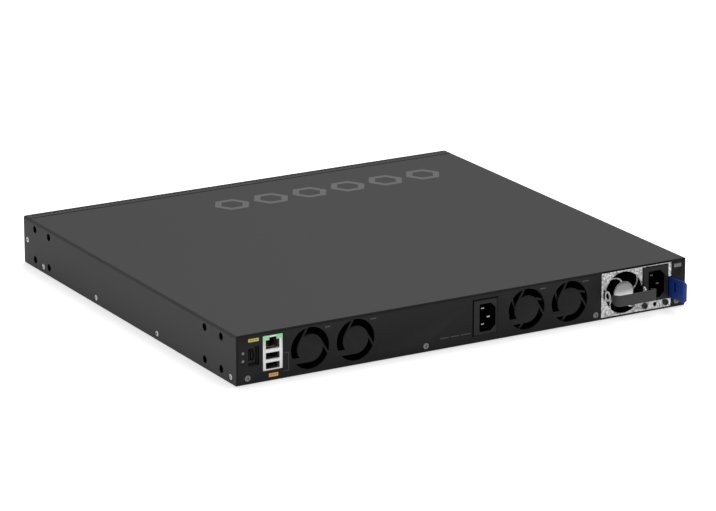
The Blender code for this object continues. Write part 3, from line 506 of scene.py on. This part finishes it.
def recessed_screw(name, node, seat, facing, radius, proud, material, body, slot):
    """A screw: a head with a rim, a shallow dome and a cross recess, and its plain shank."""
    bm = bmesh.new()
    rim = 0.35
    shank_r = 1.3
    end = -5.5
    profile = ((0, proud), (radius * 0.45, proud - 0.03), (radius * 0.78, proud - 0.14),
               (radius - 0.08, proud - rim), (radius, proud - rim - 0.15), (radius, -1.1),
               (shank_r, -1.2), (shank_r, end), (0, end))
    add_turned(bm, profile, seat, facing, 32)
    head = shape(name, bm, material)
    arm = radius * 0.56
    wide = radius * 0.17
    cross_depth = 0.85
    skew = Matrix.Rotation(math.radians(20), 4, "Z")
    place = Matrix.Translation(Vector(seat) * MM) @ FACINGS[facing]
    for x, y in ((arm, wide), (wide, arm)):
        bm = bmesh.new()
        made = add_box(bm, (-x, -y, proud - cross_depth), (x, y, proud + 1))
        bmesh.ops.transform(bm, matrix=place @ skew, verts=made)
        carve(head, bm)
    belong(head, body, slot, node)


def ear_nuts():
    """The threaded inserts that the rack ears screw into, in painted shade so that the holes look dark."""
    bore_r = 2.0
    rim_r = 2.95
    top = -1.3
    profile = ((0, -5), (bore_r, -5), (bore_r, top), (rim_r, top), (rim_r, -6), (0, -6))
    bm = bmesh.new()
    for side, facing in SIDES:
        for y, z in EAR_HOLES:
            add_turned(bm, profile, (side * HALF_WIDTH, y, z), facing, 24)
    belong(shape("ear_nuts", bm, SHADE), "chassis", "steel")


def screws():
    """Every visible screw, each in the place of its plain CAD one."""
    head_r = 2.6
    for kind, per_side in (("cover", 4), ("bezel", 1)):
        for number in range(1, 2 * per_side + 1):
            side, facing = SIDES[0] if number <= per_side else SIDES[1]
            _, y, z = middle_of(f"{kind}_screw_{number}")
            recessed_screw(f"{kind}_screw_head_{number}", f"{kind}_screw_{number}",
                           (side * HALF_WIDTH, y, z), facing, head_r, 0.0, STEEL, "chassis", "steel")
    for number in range(1, 5):
        x, _, z = middle_of(f"rear_screw_{number}")
        recessed_screw(f"rear_screw_head_{number}", f"rear_screw_{number}", (x, REAR_Y, z), "-Y",
                       head_r, 0.5, REAR_SCREW, "chassis", "steel")
    for number in (1, 2):
        x, _, z = middle_of(f"psu_screw_{number}")
        recessed_screw(f"psu_screw_head_{number}", f"psu_screw_{number}", (x, REAR_Y - 1.0, z), "-Y",
                       2.7, 0.6, BLACK_SCREW, "psu_module", "black_plastic")


# ---------------------------------------------------------------- prints and tags

def plate(name, low, high, material, slot, radius=0.3, thick=0.1, near_y=REAR_Y):
    """A thin tag, a patch of print or a strip of painted shade on the rear face."""
    bm = bmesh.new()
    top = near_y - 0.01
    add_prism(bm, rounded(low, high, radius), top - thick, top)
    belong(shape(name, bm, material), "chassis", slot)


def rear_prints():
    """The coloured tags, plain marks where the real panel has print, the corner tag, strips of painted shade
    in the panel's gaps and panel-coloured fillers.
    """
    plate("yellow_tag", (-208.6, 36.0), (-198.8, 38.8), YELLOW, "lens")
    plate("orange_tag", (-189.6, 3.3), (-181.0, 6.4), ORANGE, "lens")
    dash_pitch = 2.5
    tag_face_y = REAR_Y - 0.11
    for name, left, z in (("yellow", -207.2, 37.2), ("orange", -188.4, 4.7)):
        for k in range(3):
            x = left + k * dash_pitch
            plate(f"{name}_dash_{k + 1}", (x, z), (x + 1.6, z + 0.5), FAINT, "cover_paint", 0.1, 0.02,
                  tag_face_y)
    plate("corner_tag", (208.2, 35.8), (215.6, 38.9), PRINT, "cover_paint")
    fan_marks = ((-137.0, -132.0), (-94.0, -88.5), (71.5, 77.5), (114.5, 120.5))
    for number, (left, right) in enumerate(fan_marks, 1):
        plate(f"fan_mark_{number}", (left, 37.3), (right, 38.1), FAINT, "cover_paint", 0.2, 0.03)
    inlet_marks = ((-27.0, -18.0), (-16.5, -8.0), (-6.5, 3.5))
    for number, (left, right) in enumerate(inlet_marks, 1):
        plate(f"inlet_mark_{number}", (left, 9.2), (right, 9.8), FAINT, "cover_paint", 0.15, 0.03)
    plate("port_mark_line", (-171.4, 6.0), (-171.0, 22.0), TAN, "panel_paint", 0.1, 0.03)
    for number, z in enumerate((6.0, 21.6), 1):
        plate(f"port_mark_end_{number}", (-176.0, z), (-171.5, z + 0.4), TAN, "panel_paint", 0.1, 0.03)
    bm = bmesh.new()
    add_ring(bm, 1.7, 2.1, 0.04, 0.01, (213.0, REAR_Y, 31.5), "-Y")
    belong(shape("corner_mark", bm, SHADE), "chassis", "cover_paint")
    # Painted shade: near-black strips in the gaps at the inlet's left and top and above the supply bay; the
    # panel-coloured fillers close the gaps at the inlet's right and foot.
    for name, low, high, material in (("inlet_gap_shade_side", (4.9, 6.0), (6.3, 37.4), SHADE),
                                      ("inlet_gap_shade_top", (4.9, 36.9), (30.0, 38.1), SHADE),
                                      ("inlet_filler_side", (29.3, 5.2), (30.3, 36.8), PANEL),
                                      ("inlet_filler_foot", (6.4, 5.2), (29.2, 6.1), PANEL),
                                      ("bay_gap_shade_top", (133.2, 41.5), (206.2, 42.4), SHADE)):
        plate(name, low, high, material, "panel_paint", 0.1, 0.02)


def cover_motif():
    """A plain row of six-sided rings on the cover."""
    outer = 17.5
    inner = 11.0
    count = 6
    first_x = -42.0
    pitch = 40.0
    row_y = 138.5
    bm = bmesh.new()
    for k in range(count):
        x = first_x + pitch * k
        loops = []
        for radius in (outer, inner):
            for z in (HEIGHT + 0.01, HEIGHT + 0.04):
                turns = [math.radians(60 * corner) for corner in range(6)]
                loops.append([bm.verts.new(((x + radius * math.cos(turn)) * MM,
                                            (row_y + radius * math.sin(turn)) * MM, z * MM))
                              for turn in turns])
        low_out, high_out, low_in, high_in = loops
        for n in range(6):
            m = (n + 1) % 6
            bm.faces.new((high_out[n], high_out[m], high_in[m], high_in[n]))
            bm.faces.new((low_out[m], low_out[n], low_in[n], low_in[m]))
            bm.faces.new((low_out[n], low_out[m], high_out[m], high_out[n]))
            bm.faces.new((low_in[m], low_in[n], high_in[n], high_in[m]))
    belong(shape("cover_motif", bm, MOTIF), "chassis", "cover_paint")


# ---------------------------------------------------------------- ports

def spring_contacts(name, left, right, count, near_y, depth, low_z, rise):
    """A row of bent gold contact wires."""
    bm = bmesh.new()
    pitch = (right - left) / (count - 1)
    half = pitch * 0.22
    half_thick = 0.14
    for k in range(count):
        x = left + pitch * k
        stations = [(near_y, low_z), (near_y + depth * 0.25, low_z + rise * 0.15),
                    (near_y + depth, low_z + rise)]
        for (y0, z0), (y1, z1) in zip(stations, stations[1:]):
            made = add_box(bm, (x - half, y0, -half_thick), (x + half, y1, half_thick))
            for vert in made:
                share = (vert.co.y / MM - y0) / (y1 - y0)
                vert.co.z += (z0 + share * (z1 - z0)) * MM
    belong(shape(name, bm, GOLD), "chassis", "steel")


def service_ports():
    """What is inside the rear network port and the two strip ports below it."""
    face_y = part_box("service_port_stack")[0].y / MM
    left, right, low, high = -192.4, -179.8, 27.8, 37.4
    # The lining is in painted shade, so the port looks dark inside.
    bm = bmesh.new()
    for x0, x1 in ((left + 0.05, left + 3.0), (right - 3.0, right - 0.05)):
        add_box(bm, (x0, face_y + 0.3, high - 2.8), (x1, face_y + 14, high - 0.05))
    add_box(bm, (left + 0.05, face_y + 11, low + 0.05), (right - 0.05, face_y + 14, high - 2.1))
    belong(soften(shape("service_socket_lining", bm, SHADE), 0.15), "chassis", "black_plastic")
    bm = bmesh.new()
    for x0, x1 in ((-194.7, -189.2), (-182.6, -176.9)):
        add_prism(bm, rounded((x0, 35.2), (x1, 39.2), 0.4), face_y - 0.12, face_y - 0.01)
    belong(shape("service_socket_lights", bm, GREEN_LENS), "chassis", "lens")
    spring_contacts("service_contacts", -190.6, -184.0, 7, face_y + 2.5, 7, 28.8, 3.6)
    bm = bmesh.new()
    for z in (21.8, 13.4):
        for k in range(4):
            x = -190.0 + k * 2.6
            add_box(bm, (x, face_y + 7, z - 0.11), (x + 1.2, face_y + 10, z - 0.01))
    belong(shape("service_strip_contacts", bm, GOLD), "chassis", "steel")


def console_port():
    """The console port's hollow shell and the tongue inside it."""
    bm = bmesh.new()
    add_prism(bm, rounded((-206.35, 19.05), (-201.65, 27.95), 1.6), -197.6, -191.0)
    shell = shape("console_shell", bm, INLET)
    bm = bmesh.new()
    add_prism(bm, rounded((-205.95, 19.45), (-202.05, 27.55), 1.3), -199.0, -189.0)
    carve(shell, bm)
    belong(shell, "chassis", "black_plastic")
    bm = bmesh.new()
    add_box(bm, (-204.5, -197.6, 20.3), (-203.5, -190.0, 26.7))
    belong(soften(shape("console_tongue", bm, INLET), 0.15), "chassis", "black_plastic")


def front_ports():
    """Linings, contacts and lights of the front ports, and the fingers of the fibre cages."""
    rows = ((11.7, 1), (24.2, -1))
    height = 10.0
    half = 5.9
    port_pitch = 14.0
    wire_pitch = 1.11
    wire_wide = 0.45
    for number in (1, 2):
        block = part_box(f"port_block_{number}")
        face_y = block[1].y / MM
        middle = (block[0].x + block[1].x) / 2 / MM
        lining = bmesh.new()
        lights = bmesh.new()
        gold = bmesh.new()
        for column in range(4):
            x = middle + (column - 1.5) * port_pitch
            for low, up in rows:
                edge = low if up > 0 else low + height
                for side in (-1, 1):
                    x0, x1 = sorted((x + side * (half - 3.0), x + side * (half - 0.05)))
                    z0, z1 = sorted((edge + up * 0.05, edge + up * 1.9))
                    add_box(lining, (x0, face_y - 14, z0), (x1, face_y - 0.9, z1))
                    add_box(lights, (x0 + 0.15, face_y - 0.8, z0 + 0.1), (x1 - 0.15, face_y - 0.05, z1 - 0.1))
                far_edge = low + height if up > 0 else low
                for k in range(8):
                    wire_x = x - 3.9 + k * wire_pitch
                    z0, z1 = sorted((far_edge - up * 1.2, far_edge - up * 1.6))
                    add_box(gold, (wire_x, face_y - 12, z0), (wire_x + wire_wide, face_y - 3, z1))
        belong(shape(f"port_lining_{number}", lining, BLACK), "chassis", "black_plastic")
        belong(shape(f"port_lights_{number}", lights, GREEN_LENS), "chassis", "lens")
        belong(shape(f"port_contacts_{number}", gold, GOLD), "chassis", "steel")
    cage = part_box("sfp_cage")
    face_y = cage[1].y / MM
    bm = bmesh.new()
    cage_pitch = 15.4
    finger_pitch = 2.1
    for k in range(4):
        left = cage[0].x / MM + k * cage_pitch + 0.8
        for n in range(6):
            x = left + 1.0 + n * finger_pitch
            for low_z, high_z in ((10.15, 10.4), (19.5, 19.75)):
                add_box(bm, (x, face_y - 9, low_z), (x + 1.2, face_y - 0.6, high_z))
    belong(shape("cage_fingers", bm, STEEL), "chassis", "steel")


# ---------------------------------------------------------------- mains inlets

def mains_inlet(name, node, cavity, pins, body, corner, tips):
    """A three-pin inlet: housing, a well with two cut corners whose deep faces are painted shade, and blades
    with the earth blade last, their sides painted shade.
    """
    low, high = corners_of(node)
    face_y = low.y
    bm = bmesh.new()
    add_prism(bm, rounded((low.x, low.z), (high.x, high.z), corner), face_y, high.y)
    housing = shape(name, bm, INLET)
    x0, z0, x1, z1 = cavity
    cut = 4.6
    soft = 0.9
    tip_depths = (4.9, 4.9, 2.0)
    half_wide = 1.5
    half_thick = 0.55
    well_end = 16.0
    well = [(x1, z0 + cut), (x1, z1 - cut), (x1 - cut, z1)]
    for start, cx, cz in ((90, x0 + soft, z1 - soft), (180, x0 + soft, z0 + soft)):
        for step in range(4):
            angle = math.radians(start + 90 * step / 3)
            well.append((cx + soft * math.cos(angle), cz + soft * math.sin(angle)))
    well.append((x1 - cut, z0))
    bm = bmesh.new()
    add_prism(bm, well, face_y - 4, face_y + well_end)
    carve(housing, bm)
    # Faces deep in the well take painted shade.
    housing.data.materials.append(SHADE)
    for face in housing.data.polygons:
        if face.center.y > (face_y + 1) * MM and x0 - 0.1 < face.center.x / MM < x1 + 0.1:
            face.material_index = 1
    soften(housing, 0.35, 3)
    belong(housing, body, "black_plastic", node)
    bm = bmesh.new()
    for (x, z), tip in zip(pins, tip_depths):
        add_box(bm, (x - half_wide, face_y + tip, z - half_thick),
                (x + half_wide, face_y + well_end + 0.5, z + half_thick))
    blades = shape(name + "_blades", bm, tips)
    # The blades' sides take painted shade; only their front faces keep the metal.
    blades.data.materials.append(SHADE)
    for face in blades.data.polygons:
        face.material_index = 0 if face.normal.y < -0.9 else 1
    soften(blades, 0.15)
    belong(blades, body, "steel")


# ---------------------------------------------------------------- fans

def fan_rotor(name, node, body, hub_r, tip_r):
    """A hub with a shallow cap and curved, twisted blades."""
    low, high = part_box(node)
    near_y = low.y / MM
    length = (high.y - low.y) / MM
    x, z = FAN_CENTRES[node]
    bm = bmesh.new()
    profile = ((0, -0.4), (hub_r * 0.5, -0.35), (hub_r - 1.4, -0.1), (hub_r - 0.4, -0.5), (hub_r, -1.3),
               (hub_r, -length + 0.4), (hub_r - 0.5, -length), (0, -length))
    add_turned(bm, profile, (x, near_y, z), "-Y", 40)
    hub = shape(name, bm, FAN)
    bm = bmesh.new()
    blades = 7
    radial = 6
    across = 6
    root_r = hub_r - 0.6
    chord = min(15.0, length - 4)
    for blade in range(blades):
        base = 2 * math.pi * blade / blades
        grid = []
        for i in range(radial + 1):
            share = i / radial
            radius = root_r + share * (tip_r - root_r)
            pitch = math.radians(50 - 18 * share)
            line = []
            for j in range(across + 1):
                along = j / across - 0.5
                side = along * chord * math.cos(pitch) * 0.95
                axial = along * chord * math.sin(pitch)
                camber = (1 - 4 * along * along) * 0.9
                angle = base + (side + 1.6 * share) / radius
                line.append(bm.verts.new(((x + radius * math.cos(angle)) * MM,
                                          (near_y + length / 2 + axial + camber) * MM,
                                          (z + radius * math.sin(angle)) * MM)))
            grid.append(line)
        for i in range(radial):
            for j in range(across):
                bm.faces.new((grid[i][j], grid[i + 1][j], grid[i + 1][j + 1], grid[i][j + 1]))
    vanes = shape(name + "_blades", bm, FAN)
    thick = vanes.modifiers.new("thick", "SOLIDIFY")
    thick.thickness = 0.8 * MM
    thick.offset = 0
    belong(hub, body, "fan_plastic", node)
    belong(vanes, body, "fan_plastic")


# ---------------------------------------------------------------- slide-in supply

def ribbon(name, path, low_z, high_z, thickness, material):
    """A flat strip that stands on edge along an (x, y) path, between two heights given for each point."""
    bm = bmesh.new()
    lows = [bm.verts.new((x * MM, y * MM, low_z(k) * MM)) for k, (x, y) in enumerate(path)]
    highs = [bm.verts.new((x * MM, y * MM, high_z(k) * MM)) for k, (x, y) in enumerate(path)]
    for k in range(len(path) - 1):
        bm.faces.new((lows[k], lows[k + 1], highs[k + 1], highs[k]))
    strip = shape(name, bm, material)
    thick = strip.modifiers.new("thick", "SOLIDIFY")
    thick.thickness = thickness * MM
    thick.offset = 0
    thick.use_even_offset = True
    return strip


def supply_handle():
    """The bowed strap, a little narrower where it enters its fixings."""
    low, high = corners_of("psu_handle")
    thick = 2.4
    half = thick / 2
    out_y = low.y + half
    start_y = REAR_Y - 7.6
    left = low.x + half
    right = high.x - half
    bend = 4.0
    steps = 8
    path = [(left, start_y), (left, start_y - 2.4)]
    for side_x, inward, first in ((left, 1, 180), (right, -1, 270)):
        for k in range(steps + 1):
            angle = math.radians(first + 90 * k / steps)
            path.append((side_x + inward * bend + bend * math.cos(angle),
                         out_y + bend + bend * math.sin(angle)))
    path += [(right, start_y - 2.4), (right, start_y)]

    def narrowing(k):
        return 1 - min(1.0, (start_y - path[k][1]) / 6.5)

    strap = ribbon("handle_strap", path, lambda k: low.z + 1.8 * narrowing(k),
                   lambda k: high.z - 1.3 * narrowing(k), thick, STRAP)
    soften(bake(strap), 0.7, 3)
    belong(strap, "psu_module", "strap_grey", "psu_handle")


def handle_fixings():
    """The plated eyelet at the strap's left end with a foot of painted shade behind it, and the lug, its root
    and the pin at its right.
    """
    bm = bmesh.new()
    add_ring(bm, 2.7, 4.6, 0.4, -0.4, (137.3, REAR_Y - 4.2, 21.9), "-X")
    belong(soften(shape("handle_eyelet", bm, EYELET), 0.25), "psu_module", "steel")
    lug_x = 174.8
    half_lug = 0.65
    bm = bmesh.new()
    lug_outline = [(-3.6, 20.5), (-3.6, 24.9), (-4.6, 25.0), (-7.6, 22.6), (-7.6, 20.5)]
    add_prism(bm, lug_outline, -half_lug, half_lug)
    lug = shape("handle_lug_right", bm, EYELET)
    stand_across(lug, lug_x)
    belong(soften(lug, 0.3, 3), "psu_module", "steel")
    # The root is drawn black, so the lug is dark where it meets the face.
    bm = bmesh.new()
    add_prism(bm, [(-0.1, 17.5), (-0.1, 24.6), (-3.6, 24.6), (-3.6, 17.5)], -half_lug, half_lug)
    root = shape("handle_root_right", bm, BLACK)
    stand_across(root, lug_x)
    belong(soften(root, 0.2), "psu_module", "black_plastic")
    # The foot is a near-black plate of painted shade that outlines the eyelet.
    bm = bmesh.new()
    add_prism(bm, rounded((136.0, 18.0), (139.0, 25.8), 1.0), REAR_Y - 0.5, REAR_Y - 0.02)
    belong(soften(shape("handle_foot_shade", bm, SHADE), 0.15), "psu_module", "steel")
    bm = bmesh.new()
    add_rod(bm, (176.8, REAR_Y - 8.0, 20.1), 0.9, 4.6, "X", 20)
    belong(soften(shape("handle_pin", bm, STEEL), 0.25), "psu_module", "steel")


def stand_across(obj, x):
    """Turns a plate drawn as (distance out, height) so that it stands across the X axis at x."""
    turn = Matrix(((0, 1, 0, x * MM), (1, 0, 0, REAR_Y * MM), (0, 0, 1, 0), (0, 0, 0, 1)))
    obj.data.transform(turn)
    obj.data.flip_normals()


def supply_latch():
    """The blue release lever: a bent plate with a curled end, a finger recess whose floor is painted shade, a
    barrel and a tooth.
    """
    low, high = corners_of("psu_latch")
    x = 204.4
    end_y = low.y
    curl = 2.4
    steps = 7
    root_y = -184.0
    root_low, root_high, end_low, end_high = low.z, 27.6, low.z + 0.2, high.z
    path = [(x, root_y), (x, -198.0), (x, -202.0), (x, -208.0), (x, -216.0)]
    bend_y = end_y + curl
    for k in range(steps + 1):
        angle = math.radians(180 + 80 * k / steps)
        path.append((x + curl + curl * math.cos(angle), bend_y + curl * math.sin(angle)))

    def share(k):
        return max(0.0, min(1.0, (REAR_Y - path[k][1]) / (REAR_Y - end_y)))

    def tuck(k):
        late = max(0, k - (len(path) - steps))
        return 2.2 * (late / (steps - 1)) ** 2 if late else 0.0

    def plate_low(k):
        return root_low + (end_low - root_low) * share(k) + tuck(k)

    def plate_high(k):
        return root_high + (end_high - root_high) * share(k) - tuck(k)

    lever = ribbon("latch_lever", path, plate_low, plate_high, 1.4, BLUE)
    bake(lever)
    bm = bmesh.new()
    recess_x = x - 0.35
    add_box(bm, (x - 2, -210.0, 16.5), (recess_x, -206.5, 25.0))
    carve(lever, bm)
    lever.data.materials.append(RECESS_SHADE_BLUE)
    # The recess floor takes the darker blue: painted shade in the finger recess.
    for face in lever.data.polygons:
        if abs(face.center.x / MM - recess_x) < 0.05 and face.normal.x < -0.9:
            face.material_index = 1
    soften(lever, 0.3, 3)
    belong(lever, "psu_latch", "blue_plastic", "psu_latch")
    bm = bmesh.new()
    add_rod(bm, (203.8, root_y, 18.7), 1.3, 17.6, "Z", 24)
    add_box(bm, (204.9, -195.5, 18.0), (205.7, -191.5, 23.0))
    belong(shape("latch_barrel", bm, BLUE), "psu_latch", "blue_plastic")


def supply_trim():
    """The dome on the fan guard's disc, its tone a painted reflection that darkens upward."""
    radius = 9.4
    rise = 1.9
    rim = 0.5
    bm = bmesh.new()
    dome = [(radius * math.sin(math.radians(a)), rim + (rise - rim) * math.cos(math.radians(a)))
            for a in range(0, 91, 10)]
    dome[0] = (0, rise)
    x, z = FAN_CENTRES["psu_fan_rotor"]
    add_turned(bm, dome + [(radius, 0), (0, 0)], (x, REAR_Y - 0.02, z), "-Y", 48)
    belong(shape("guard_dome", bm, DISC_REFLECTION), "psu_module", "zinc")


# ---------------------------------------------------------------- stage

WHITE = (1.0, 1.0, 1.0, 1.0)


def floor():
    """The pale floor, a little bright of itself."""
    bm = bmesh.new()
    bmesh.ops.create_grid(bm, x_segments=1, y_segments=1, size=12.0)
    paper = finish("floor_paper", grey(0.84), grey(0.86), (0.85, 0.95), scale=40, bump=0.0)
    shader = paper.node_tree.nodes["Principled BSDF"]
    shader.inputs["Emission Color"].default_value = WHITE
    shader.inputs["Emission Strength"].default_value = 0.52
    sheet = shape("floor", bm, paper)
    sheet.location.z = -0.0002


def light():
    """White surroundings and one broad soft lamp."""
    world = bpy.data.worlds.new("white_room")
    world.use_nodes = True
    backdrop = world.node_tree.nodes["Background"]
    backdrop.inputs["Color"].default_value = WHITE
    backdrop.inputs["Strength"].default_value = 0.5
    bpy.context.scene.world = world
    lamp = bpy.data.lights.new("soft_lamp", "AREA")
    lamp.shape = "SQUARE"
    lamp.size = 2.4
    lamp.energy = 64.0
    holder = bpy.data.objects.new("soft_lamp", lamp)
    holder.location = (0.9, 0.8, 2.5)
    holder.rotation_euler = (-holder.location).to_track_quat("-Z", "Y").to_euler()
    bpy.context.scene.collection.objects.link(holder)


def camera():
    """The camera where the photo was taken from, and plain colours."""
    bpy.context.scene.view_settings.view_transform = "Standard"
    azimuth = math.radians(-29.92)
    elevation = math.radians(16.96)
    distance = 3.501
    target = Vector((0.0148, 0.00956, 0.02055))
    back = Vector((math.sin(azimuth) * math.cos(elevation), -math.cos(azimuth) * math.cos(elevation),
                   math.sin(elevation)))
    lens = bpy.data.cameras.new("camera")
    lens.lens = 199.4
    lens.sensor_width = 36.0
    viewer = bpy.data.objects.new("camera", lens)
    viewer.location = target + back * distance
    viewer.rotation_euler = (-back).to_track_quat("-Z", "Y").to_euler()
    bpy.context.scene.collection.objects.link(viewer)
    bpy.context.scene.camera = viewer


dress_nodes()
front_bezel()
cover_shell()
ear_nuts()
screws()
rear_prints()
cover_motif()
service_ports()
console_port()
front_ports()
mains_inlet("fixed_inlet", "ac_inlet", (12.2, 9.1, 27.8, 33.1),
            ((18.0, 27.7), (18.0, 13.7), (22.0, 20.7)), "chassis", 0.8, CONTACT)
mains_inlet("module_inlet", "psu_inlet", (181.6, 12.2, 197.9, 36.0),
            ((187.6, 30.9), (187.6, 16.9), (191.8, 23.9)), "psu_module", 1.2, BLADE)
for number in range(1, 5):
    fan_rotor(f"rotor_{number}", f"fan_{number}_rotor", f"fan_{number}", 10.5, 17.6)
fan_rotor("module_rotor", "psu_fan_rotor", "psu_fan", 9.0, 16.2)
supply_handle()
handle_fixings()
supply_latch()
supply_trim()
floor()
light()
camera()
